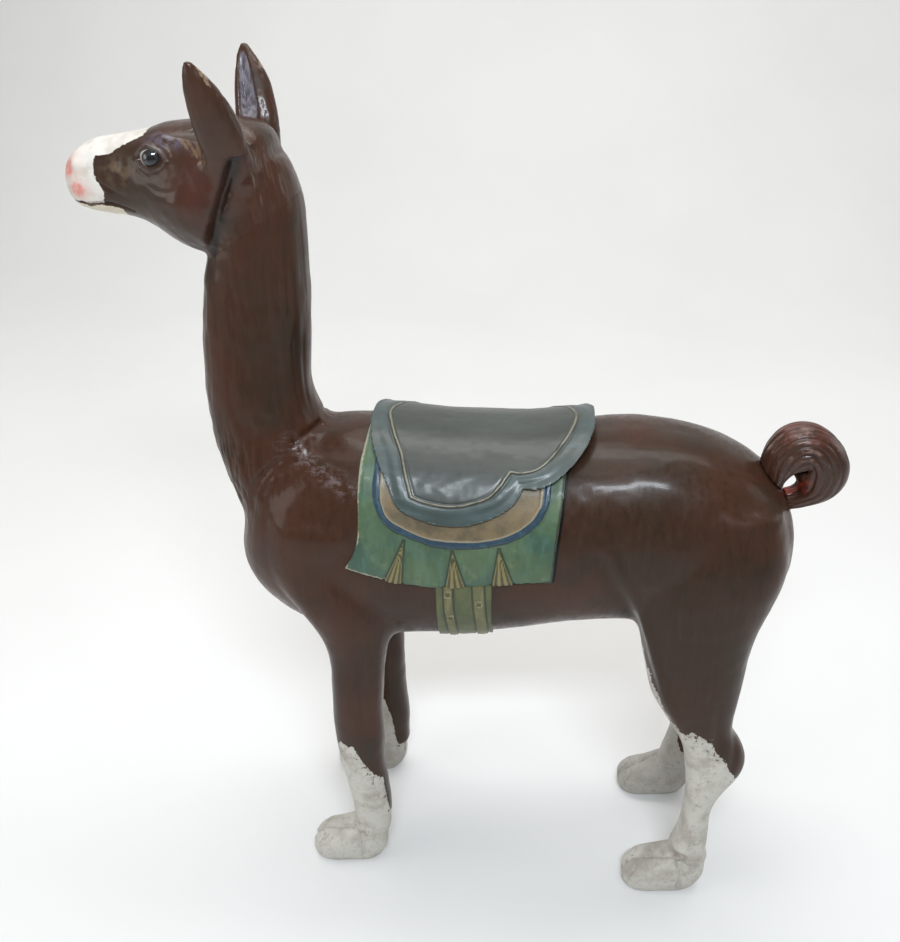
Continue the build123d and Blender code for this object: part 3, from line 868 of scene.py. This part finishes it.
# %% Notes for the paints
# the upper edge of each sock, as how far back and how high, in millimetres
fore_sock = ([-151, -139, -130, -124, -116, -110, -102, -98, -95, -92, -86],
             [216, 223, 217, 201, 185, 174, 161, 148, 125, 89, 60])
far_fore_sock = ([-160, -130, -115, -108, -100, -90], [170, 160, 120, 62, 55, 50])
hind_sock = ([194, 200, 212, 222, 230, 250, 269, 283, 298, 305, 316, 323, 340],
             [250, 410, 372, 348, 332, 295, 286, 285, 276, 260, 248, 233, 205])
far_hind_sock = ([194, 200, 212, 222, 230, 250, 262, 275, 285, 291, 300, 340],
                 [250, 410, 372, 348, 332, 295, 288, 278, 262, 110, 92, 85])
muzzle_edge = ([850, 861, 872, 882, 895, 904, 906, 910, 915, 923, 928, 940],
               [-366, -368, -364, -369, -371, -370, -368, -345, -336, -323, -318, -316])


def sock_height(p):
    """Height above the upper edge of the white socks, negative in the white."""
    x, y, z = (p / MM).T
    near = np.where(x < 50, np.interp(x, *fore_sock), np.interp(x, *hind_sock))
    far = np.where(x < 50, np.interp(x, *far_fore_sock), np.interp(x, *far_hind_sock))
    return z - np.where(y < 0, near, far)


def tuft_lines(p):
    """The pale bottoms of the gouges behind the cheek and on the chest, from 0 to 1."""
    q = folded(p)
    where = mound(q, (-203, 36, 885), (10, 16, 36), 1 / MM)
    where += mound(q, (-250, 50, 585), (30, 30, 45), 0.35 / MM)
    return np.clip(where, 0, 1) * np.clip(hair_fields(p)[1] * 1.6 - 0.35, 0, 1)


cheek_shadow = curve([(-214, 64, 920), (-218, 64, 912), (-222, 63, 902), (-231, 58, 886), (-243, 54, 858),
                      (-254, 42, 830), (-260, 26, 816)])
# a line over the shoulder: its carved scratches, with pale streaks along it that are a painted highlight
scuffed = curve([(-194, 52, 610), (-176, 56, 596), (-156, 67, 587), (-138, 75, 580), (-124, 79, 574)])


def note_body(mesh):
    p = points_of(mesh)
    q = folded(p)
    gap, along = away(q * SIDE, cheek_shadow * SIDE)
    shadow = np.clip(1.3 - gap / (MM * (9 - 4 * along)), 0, 1) * (q[:, 1] > 0.02)
    toes = np.min([away(q * TOP, curve(line) * TOP)[0] for line, _, _ in toe_creases], axis=0) / MM
    # painted shadow on the rear of the body, in a band along the blanket's edge and round the saddle flap's
    # edge
    cloth, flap = inside_side_view(p, blanket_edge), inside_side_view(p, saddle_edge)
    edge_shadow_paint = np.maximum(1 - np.abs(cloth + 1.0) / 2.6, 1 - np.abs(flap) / 8)
    note(mesh, sock=sock_height(p), tuft=tuft_lines(p),
         dark=shadow * (p[:, 2] > 0.8) * (p[:, 2] < 0.922),
         toe=np.where((p[:, 2] < foot_top) & (p[:, 2] > 0.006), toes, 99),
         scuff=np.clip(1 - away(q, scuffed)[0] / (17 * MM), 0, 1),
         under=np.where(p[:, 0] > 0.05, edge_shadow_paint, -9))


def face_strokes():
    """The pale brush strokes that fan out over the temple, and two short ones on the snout."""
    strokes = []
    for k in range(4):
        strokes += [
            [(-292 + 7 * k, 24 + 2 * k, 930), (-277 + 7 * k, 36 + k, 925), (-262 + 5 * k, 46 + 2 * k, 912)],
            [(-262 + 6 * k, 38 + 4 * k, 925), (-252 + 5 * k, 52 + 4 * k, 925), (-244 + 3 * k, 66 + k, 934)],
            [(-256 + 5 * k, 50 + k, 905 - 3 * k), (-248 + 4 * k, 60, 915), (-241 + 2 * k, 68, 925)]]
    return strokes + [[(-277, 32, 930), (-290, 36, 921), (-285, 44, 911)],
                      [(-352, 36, 880), (-344, 38, 872), (-338, 38, 866)]]


def note_head(mesh):
    p = folded(points_of(mesh))
    x, y, z = (p / MM).T
    mouth_z = np.interp(x, (-402, -387, -369, -353, -338), (860.5, 858, 860, 858, 852))
    edge = np.interp(z, *muzzle_edge) - x
    blaze = np.interp(x, (-375, -350, -318), (30, 27, 20)) - y
    upper = np.where(z > 905, np.minimum(edge, blaze), edge)
    spots = [((-403, 17, 892), 8.5), ((-394, 27, 873), 7.0)]

    def from_lines(*lines):
        return np.min([away(p, curve(line))[0] for line in lines], axis=0) / MM

    def patch(place, width, most=1):
        return np.clip(mound(p, place, width, most / MM), 0, 1)

    note(mesh, muzzle=np.where(z > mouth_z, upper, -99), lip=np.minimum(mouth_z - 1.5 - z, -349 - x),
         pink=np.max([r - np.linalg.norm((p / MM - c) * (0.8, 0.8, 1), axis=1) for c, r in spots], axis=0),
         lid=from_lines(almond, lower_lid), mouth=from_lines(mouth), fan=from_lines(*face_strokes()),
         brow=patch((-292, 38, 927), (26, 12, 9)), cheek=patch((-262, 55, 880), (30, 22, 34)),
         jaw=patch((-252, 45, 845), (26, 26, 22), 1.2), snout=patch((-345, 32, 893), (17, 14, 12), 1.2))


for name, mesh in meshes.items():
    if name.startswith(("torso", "neck", "head", "foreleg", "forefoot", "thigh", "hind")):
        note_body(mesh)
note_head(meshes["head_block"])
for side in sides:
    cloth, pad, eye = meshes[f"blanket_{side}"], meshes[f"pad_{side}"], meshes[f"eye_{side}"]
    p = points_of(cloth)
    room, share = pleat_inside(p)
    note(cloth, pleat=room, ribs=0.5 + 0.5 * np.cos(share * 9), edge=inside_side_view(p, blanket_edge),
         fore=-92 - p[:, 0] / MM, back=p[:, 0] > 0.09)
    note(pad, edge=inside_side_view(points_of(pad), pad_edge))
    note(meshes[f"saddle_{side}"], seat=seat_inside(points_of(meshes[f"saddle_{side}"])))
    p = points_of(eye) / MM
    note(eye, out=np.hypot((p[:, 0] + 306.5) / 1.15, p[:, 2] - 907))
p = points_of(meshes["girth_band"])
note(meshes["girth_band"], strap=strap_inside(p), buckle=buckle_inside(p))
print("notes written on", len(meshes), "pieces")

# %% [markdown]
# ## Paint graphs that read like sums
# A shader graph is only arithmetic. This small class wraps one socket, so that a sum of
# wires is written like a sum of numbers, and every other node is made by one method.


# %% Wires
class Wire:
    """One output of a shader graph, which adds, subtracts and multiplies like a number."""

    def __init__(self, tree, socket):
        self.tree, self.socket = tree, socket

    def node(self, kind, settings, inputs, out=0):
        """Any node in the same graph: its type, then its settings, then its inputs."""
        made = self.tree.nodes.new("ShaderNode" + kind)
        for key, value in settings.items():
            setattr(made, key, value)
        for key, value in inputs.items():
            if isinstance(value, Wire):
                self.tree.links.new(value.socket, made.inputs[key])
            else:
                made.inputs[key].default_value = value
        return Wire(self.tree, made.outputs[out])

    def maths(self, operation, first, second):
        return self.node("Math", {"operation": operation}, {0: first, 1: second})

    def __add__(self, other):
        return self.maths("ADD", self, other)

    def __sub__(self, other):
        return self.maths("SUBTRACT", self, other)

    def __mul__(self, other):
        return self.maths("MULTIPLY", self, other)

    def __rsub__(self, other):
        return self.maths("SUBTRACT", other, self)

    __radd__ = __add__
    __rmul__ = __mul__

    def between(self, low, high):
        """0 below one value and 1 above the other, with a smooth step."""
        return self.node("MapRange", {"interpolation_type": "SMOOTHSTEP"},
                         {"Value": self, "From Min": low, "From Max": high})

    def size(self):
        """The number without its sign."""
        return self.node("Math", {"operation": "ABSOLUTE"}, {0: self})

    def part(self, axis):
        """One of the three numbers of a place: 0, 1 or 2 for X, Y or Z."""
        return self.node("SeparateXYZ", {}, {0: self}, axis)

    def mix(self, first, second):
        """The first colour where this wire is 0 and the second where it is 1."""
        return self.node("Mix", {"data_type": "RGBA"}, {0: self, 6: first, 7: second}, 2)

    def noise(self, scale, detail=3.0, rough=0.5, stretch=(1, 1, 1)):
        """Cloudy noise at this place, from about 0.2 to 0.8, drawn out where the stretch is small."""
        drawn = self.node("VectorMath", {"operation": "MULTIPLY"}, {0: self, 1: stretch})
        return self.node("TexNoise", {}, {
            "Vector": drawn, "Scale": scale, "Detail": detail, "Roughness": rough})

    def read(self, name):
        """The number that each point of the mesh stores under this name."""
        return self.node("Attribute", {"attribute_name": name}, {}, 2)

    def bump(self, height, strength, distance):
        """A normal that leans with the height, for marks too fine to carve."""
        return self.node("Bump", {}, {"Height": height, "Strength": strength, "Distance": distance})


def paint(name, recipe):
    """A material whose recipe gets the place on the object and gives what each input is."""
    made = bpy.data.materials.new(name)
    made.use_nodes = True
    tree = made.node_tree
    shader = tree.nodes["Principled BSDF"]
    place = Wire(tree, tree.nodes.new("ShaderNodeTexCoord").outputs["Object"])
    for key, value in recipe(place).items():
        if isinstance(value, Wire):
            tree.links.new(value.socket, shader.inputs[key])
        else:
            shader.inputs[key].default_value = value
    return made


def rgb(red, green, blue):
    return red, green, blue, 1


def laid(colour, *coats):
    """A colour with coats laid over it in turn: how much of each shows, and its red, green and blue."""
    for shows, *tint in coats:
        colour = shows.mix(colour, rgb(*tint))
    return colour


def varnished(place, colour, rough, grain, lean, deep, coat, coat_rough=0.13, shine=0.5):
    """What the shader gets: a colour, a roughness, fine grain of a depth in millimetres, and a varnish."""
    return {"Base Color": colour, "Roughness": rough, "Normal": place.bump(grain, lean, deep * MM),
            "Coat Weight": coat, "Coat Roughness": coat_rough, "Specular IOR Level": shine}


# %% [markdown]
# ## The paints
# The brown is thin and streaky, drawn on with a brush along the hair, under a varnish that
# shines more where it is thick. The white of the socks is chipped at its edge and stained.


# %% Brown and white
def brown(place):
    """Colour and roughness of the varnished brown."""
    cloud = place.noise(7, 3)
    patch = place.noise(17, 4, 0.6)
    brushed = place.noise(170, 4, 0.6, (1, 1, 0.10))
    fine = place.noise(620, 3, 0.6, (1, 1, 0.05))
    scuff = place.read("scuff") * place.noise(150, 5, 0.75, (0.5, 0.5, 1)).between(0.46, 0.60)
    colour = laid(
        cloud.between(0.36, 0.66).mix(rgb(0.035, 0.0180, 0.0100), rgb(0.056, 0.0215, 0.0115)),
        (patch.between(0.5, 0.72) * 0.6, 0.026, 0.0190, 0.0115),
        (brushed.between(0.52, 0.72) * 0.22, 0.070, 0.035, 0.023),
        (brushed.between(0.46, 0.30) * 0.3, 0.016, 0.010, 0.007),
        (fine.between(0.62, 0.80) * 0.22, 0.12, 0.080, 0.060),
        # pale pinkish grey streaks over the shoulder scratches: a painted highlight
        (scuff * 0.6, 0.21, 0.165, 0.165),
        (place.read("tuft").between(0.1, 0.7) * 0.6, 0.20, 0.13, 0.08),
        (place.read("dark") * 0.92, 0.004, 0.003, 0.003),
        # near black along the rear edges of the blanket and the saddle: a painted shadow
        (place.read("under").between(0.1, 0.6), 0.004, 0.004, 0.004))
    rough = 0.28 + brushed.between(0.35, 0.7) * 0.15 + patch.between(0.45, 0.7) * 0.10
    return colour, rough, brushed * 0.7 + fine * 0.3


def white(place):
    """Colour of the old white paint, with stains, and painted shade on the far socks."""
    stain = place.noise(26, 5, 0.65)
    return laid(
        stain.between(0.44, 0.66).mix(rgb(0.56, 0.54, 0.49), rgb(0.40, 0.37, 0.32)),
        (place.noise(95, 4, 0.7).between(0.56, 0.66) * 0.45, 0.30, 0.28, 0.25),
        # the socks on the far side, Y above 0, made greyer: painted shade
        (place.part(1).between(-0.02, 0.03) * 0.45, 0.25, 0.235, 0.215),
        (place.noise(240, 3, 0.7).between(0.60, 0.70) * 0.55, 0.16, 0.13, 0.10))


def ragged(place, coarse, fine):
    """Noise round 0, in millimetres, that frays the edge of a paint."""
    return (place.noise(75, 4, 0.65, (1, 1, 0.55)) - 0.5) * coarse + (place.noise(330, 3, 0.6) - 0.5) * fine


def paint_body(place):
    colour, rough, grain = brown(place)
    sock, scuff = place.read("sock"), place.read("scuff")
    flake = place.noise(150, 3).between(0.60, 0.66) * (sock + 34).between(0, 26)
    in_white = (ragged(place, 34, 10) - sock).between(0.0, 1.2) * (1 - flake)
    worn = place.noise(140, 4, 0.7).between(0.40, 0.62)
    pale = laid(white(place), ((1.7 - place.read("toe")).between(0, 1.5) * worn * 0.7, 0.24, 0.175, 0.145))
    grain = grain + in_white * 0.5 + scuff * place.noise(120, 4, 0.7) * 2.0
    return varnished(place, in_white.mix(colour, pale), rough + in_white * 0.16 - scuff * 0.08, grain,
                  0.28, 0.9, 0.17, shine=0.18)


def patch_of(place):
    return place.noise(30, 4, 0.6).between(0.35, 0.6)


def paint_head(place):
    colour, rough, grain = brown(place)
    fray = ragged(place, 9, 5)
    lid = place.read("lid")
    in_white = (place.read("muzzle") + fray).between(0, 1.0)
    blush = (place.read("pink") + (place.noise(80, 4, 0.6) - 0.5) * 26).between(-16, 4)
    cream = place.noise(60, 3).between(0.4, 0.65).mix(rgb(0.72, 0.69, 0.64), rgb(0.60, 0.55, 0.49))
    rose = place.noise(200, 3).between(0.35, 0.65).mix(rgb(0.62, 0.20, 0.17), rgb(0.72, 0.33, 0.28))
    colour = laid(
        colour,
        (place.read("cheek") * 0.55, 0.085, 0.026, 0.017),
        (place.read("jaw") * patch_of(place) * 0.7, 0.020, 0.019, 0.013),
        # a bluish grey patch on the brow: a painted highlight
        (place.read("brow") * place.noise(120, 3).between(0.32, 0.56) * 0.75, 0.15, 0.145, 0.20),
        (place.read("snout") * place.noise(90, 4).between(0.42, 0.60) * 0.6, 0.15, 0.10, 0.055),
        ((2.6 - (place.read("fan") + fray * 0.4)).between(0, 1.8) * 0.6, 0.21, 0.135, 0.080),
        # the lid ridges painted grey, and paler along their crests: a painted highlight
        ((2.6 - lid).between(0, 1.2) * 0.8, 0.10, 0.085, 0.08),
        ((0.9 - lid).between(0, 0.7) * 0.6, 0.27, 0.245, 0.225))
    colour = in_white.mix(colour, laid(cream, (blush * 0.55, 0.70, 0.44, 0.38)))
    colour = laid(colour, ((place.read("lip") + fray * 0.5).between(0, 1.0), 0.62, 0.56, 0.44))
    colour = ((place.read("pink") + fray * 0.9).between(-2.5, 2.6) * 0.85).mix(colour, rose)
    colour = laid(colour, ((2.4 - place.read("mouth")).between(0, 1.8), 0.035, 0.020, 0.016))
    return varnished(place, colour, rough + in_white * 0.12, grain, 0.22, 0.7, 0.26, shine=0.26)


def paint_ear(place):
    colour, rough, grain = brown(place)
    veins = place.noise(260, 3, 0.6, (1, 1, 0.12))
    inner = veins.between(0.35, 0.65).mix(rgb(0.075, 0.066, 0.080), rgb(0.22, 0.20, 0.23))
    colour = place.read("hollow").between(0.15, 0.5).mix(colour, inner)
    # a pale line along the upper back edge of the ear
    pale_rim = (place.read("rim") + (place.noise(110, 4, 0.7) - 0.5) * 3.0).between(0.95, 1.15)
    return varnished(place, laid(colour, (pale_rim * 0.6, 0.34, 0.24, 0.16)), rough, grain, 0.3, 0.8, 0.26,
                  shine=0.26)


def paint_tail(place):
    colour, rough, grain = brown(place)
    strand, height = place.read("strand"), place.part(2)
    # paler strand ridges near the top of the curl: a painted highlight
    pale = (1 - strand).between(0.55, 0.95) * height.between(0.575, 0.612)
    pale = pale * place.noise(70, 5, 0.7).between(0.50, 0.66)
    hook = place.read("inner") * place.read("along").between(0.45, 0.7) * place.noise(70, 4).between(0.4, 0.6)
    colour = laid(
        colour,
        ((1 - strand) * 0.5, 0.060, 0.022, 0.014),
        (pale * 0.5, 0.30, 0.19, 0.175),
        (height.between(0.618, 0.634) * patch_of(place) * 0.35, 0.20, 0.050, 0.040),
        (strand.between(0.75, 1.0), 0.018, 0.009, 0.007),
        (hook * 0.85, 0.42, 0.06, 0.035))
    return varnished(place, colour, rough, grain, 0.35, 0.8, 0.26, shine=0.26)


def paint_eye(place):
    out = place.read("out") + (place.noise(300, 3) - 0.5) * 1.2
    colour = laid(
        out.between(3.2, 4.4).mix(rgb(0.005, 0.005, 0.006), rgb(0.022, 0.026, 0.030)),
        (out.between(5.2, 6.0) * 0.8, 0.020, 0.017, 0.018),
        (out.between(8.6, 9.6), 0.50, 0.48, 0.44))
    return {"Base Color": colour, "Roughness": 0.10 + place.noise(120, 2) * 0.10,
            "Coat Weight": 0.6, "Coat Roughness": 0.05}


# %% Saddle colours
def paint_blanket(place):
    drawn = place.noise(120, 4, 0.6, (1, 1, 0.25))
    pleat = place.read("pleat")
    # olive pleats with near black in the carved valleys between their ribs: the olive is paint, the dark is
    # painted shade
    pleat_olive_and_shade = place.read("ribs").between(0.35, 0.8).mix(rgb(0.20, 0.17, 0.060), rgb(0.060, 0.055, 0.022))
    colour = laid(
        place.noise(22, 4, 0.6).between(0.38, 0.62).mix(rgb(0.030, 0.082, 0.056), rgb(0.058, 0.108, 0.048)),
        (drawn.between(0.45, 0.65) * 0.4, 0.075, 0.165, 0.125),
        (drawn.between(0.48, 0.34) * 0.35, 0.025, 0.060, 0.040),
        (place.noise(9, 2).between(0.42, 0.62) * 0.5, 0.115, 0.170, 0.085),
        (place.noise(45, 4, 0.7).between(0.56, 0.68) * 0.3, 0.19, 0.22, 0.10))
    edge = place.read("edge") + (place.noise(160, 4, 0.7) - 0.5) * 5
    at_front = place.read("fore").between(-14, -4)
    rim = (3.4 - place.read("edge")).between(0, 1.0) * (1 - at_front) * place.read("back")
    colour = laid(
        pleat.between(-0.3, 0.6).mix(colour, pleat_olive_and_shade),
        ((1.6 - (pleat + 1.0).size()).between(0, 1.2) * 0.8, 0.020, 0.026, 0.016),
        ((2.6 - edge).between(0, 1.2) * at_front * 0.8, 0.36, 0.34, 0.24),
        (rim * 0.8, 0.022, 0.022, 0.014))
    return varnished(place, colour, 0.40 + drawn * 0.20, drawn, 0.3, 0.8, 0.18, 0.2)


def paint_pad(place):
    edge = place.read("edge") + (place.noise(130, 4, 0.6) - 0.5) * 2.5
    mottled = place.noise(48, 4, 0.6)
    rubbed = place.noise(110, 4, 0.7).between(0.52, 0.66)
    colour = laid(
        mottled.between(0.38, 0.62).mix(rgb(0.185, 0.135, 0.072), rgb(0.105, 0.085, 0.050)),
        (place.noise(20, 3).between(0.5, 0.7) * 0.4, 0.26, 0.19, 0.10),
        ((9.8 - edge).between(0, 0.9), 0.27, 0.23, 0.15),
        ((7.6 - edge).between(0, 0.9), 0.012, 0.040, 0.070),
        (rubbed * (8.0 - edge).between(0, 1) * 0.5, 0.045, 0.11, 0.14))
    return varnished(place, colour, 0.36 + mottled * 0.22, mottled, 0.25, 0.8, 0.2, 0.2)


def paint_saddle(place):
    room = place.read("seat") + (place.noise(120, 4, 0.6) - 0.5) * 2.0
    wash = place.noise(14, 4, 0.55).between(0.36, 0.64)
    drawn = place.noise(90, 4, 0.6, (0.18, 1, 1))
    seat = laid(
        wash.mix(rgb(0.025, 0.031, 0.026), rgb(0.037, 0.045, 0.039)),
        (drawn.between(0.5, 0.68) * 0.35, 0.060, 0.074, 0.065),
        (drawn.between(0.46, 0.32) * 0.5, 0.019, 0.025, 0.021))
    flap = laid(
        wash.mix(rgb(0.036, 0.052, 0.048), rgb(0.050, 0.074, 0.072)),
        (drawn.between(0.5, 0.68) * 0.4, 0.065, 0.112, 0.125))
    line = room.size()
    colour = laid(
        (room + 3.0).between(-1.2, 0.4).mix(flap, seat),
        ((3.6 - line).between(0, 2.0) * 0.55, 0.020, 0.022, 0.018),
        ((1.5 - line).between(0, 0.8) * place.noise(70, 3).between(0.26, 0.5) * 0.9, 0.20, 0.19, 0.13))
    return varnished(place, colour, 0.34 + drawn * 0.24, drawn, 0.25, 0.8, 0.25, 0.18)


def paint_girth(place):
    drawn = place.noise(110, 4, 0.6, (1, 1, 0.2))
    wash = drawn.between(0.4, 0.65)
    strap, tag = place.read("strap"), place.read("buckle")
    khaki = wash.mix(rgb(0.11, 0.11, 0.042), rgb(0.17, 0.16, 0.068))
    within = tag.between(1.6, 2.4)
    pale = tag.between(0.0, 0.6) * (1 - within) * place.noise(200, 3).between(0.35, 0.6)
    colour = laid(
        strap.between(-0.2, 0.5).mix(wash.mix(rgb(0.058, 0.075, 0.026), rgb(0.098, 0.112, 0.038)), khaki),
        ((1.7 - (strap + 1.0).size()).between(0, 1.2) * 0.85, 0.020, 0.022, 0.010),
        (pale * 0.8, 0.30, 0.27, 0.13),
        (within, 0.075, 0.070, 0.030))
    return varnished(place, colour, 0.42 + drawn * 0.2, drawn, 0.3, 0.8, 0.15, 0.2)


def paint_dowel(place):
    grain = place.noise(400, 4, 0.6, (0.3, 0.3, 0.3))
    colour = grain.between(0.35, 0.65).mix(rgb(0.30, 0.19, 0.10), rgb(0.42, 0.28, 0.16))
    return {"Base Color": colour, "Roughness": 0.55 + grain * 0.2}


def paint_floor(place):
    faint = place.noise(1.5, 3)
    colour = faint.between(0.2, 0.8).mix(rgb(0.80, 0.80, 0.79), rgb(0.84, 0.84, 0.83))
    return {"Base Color": colour, "Roughness": 0.75}


paints = {
    "body": paint("brown_and_white", paint_body), "head": paint("painted_head", paint_head),
    "ear": paint("painted_ear", paint_ear), "tail": paint("painted_tail", paint_tail),
    "eye": paint("glass_eye", paint_eye), "blanket": paint("green_blanket", paint_blanket),
    "pad": paint("tan_pad", paint_pad), "saddle": paint("slate_saddle", paint_saddle),
    "girth": paint("olive_girth", paint_girth), "dowel": paint("bare_dowel", paint_dowel),
    "floor": paint("pale_floor", paint_floor)}
print("paints:", ", ".join(paints))

# %% [markdown]
# ## Put the pieces in place
# Each piece takes the place of its CAD node, rides on the statue's one body, and gets the
# paint of its kind. The carving never reaches past the measured size.

# %% Pieces
triangles = 0
for name, mesh in meshes.items():
    put_points(mesh, np.clip(points_of(mesh), np.array(cad_low), np.array(cad_high)))
    piece = shown("carved_" + name, mesh)
    kind = name.split("_")[0]
    mesh.materials.append(paints.get(kind, paints["body"]))
    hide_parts(name)
    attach(piece, "root")
    mesh.calc_loop_triangles()
    triangles += len(mesh.loop_triangles)
print("triangles:", triangles)
for name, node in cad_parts.items():
    if name.endswith(("dowels", "dowel")):
        node.data.materials.clear()
        node.data.materials.append(paints["dowel"])

# %% Floor
# a sheet that lies flat and then bends up behind in a quarter turn, drawn as rows of points
sweep = [(2.0 + 1.5 * sin(t), 1.5 - 1.5 * cos(t)) for t in np.linspace(0, pi / 2, 40)]
sweep = [(-5.0, 0.0)] + sweep + [(3.5, 6.0)]
floor_points = [(x, y, z - 0.0005) for y, z in sweep for x in (-6.0, 6.0)]
floor_mesh = mesh_from("floor", floor_points,
                       [(2 * k, 2 * k + 1, 2 * k + 3, 2 * k + 2) for k in range(len(sweep) - 1)])
floor = shown("floor", floor_mesh)
floor_mesh.materials.append(paints["floor"])
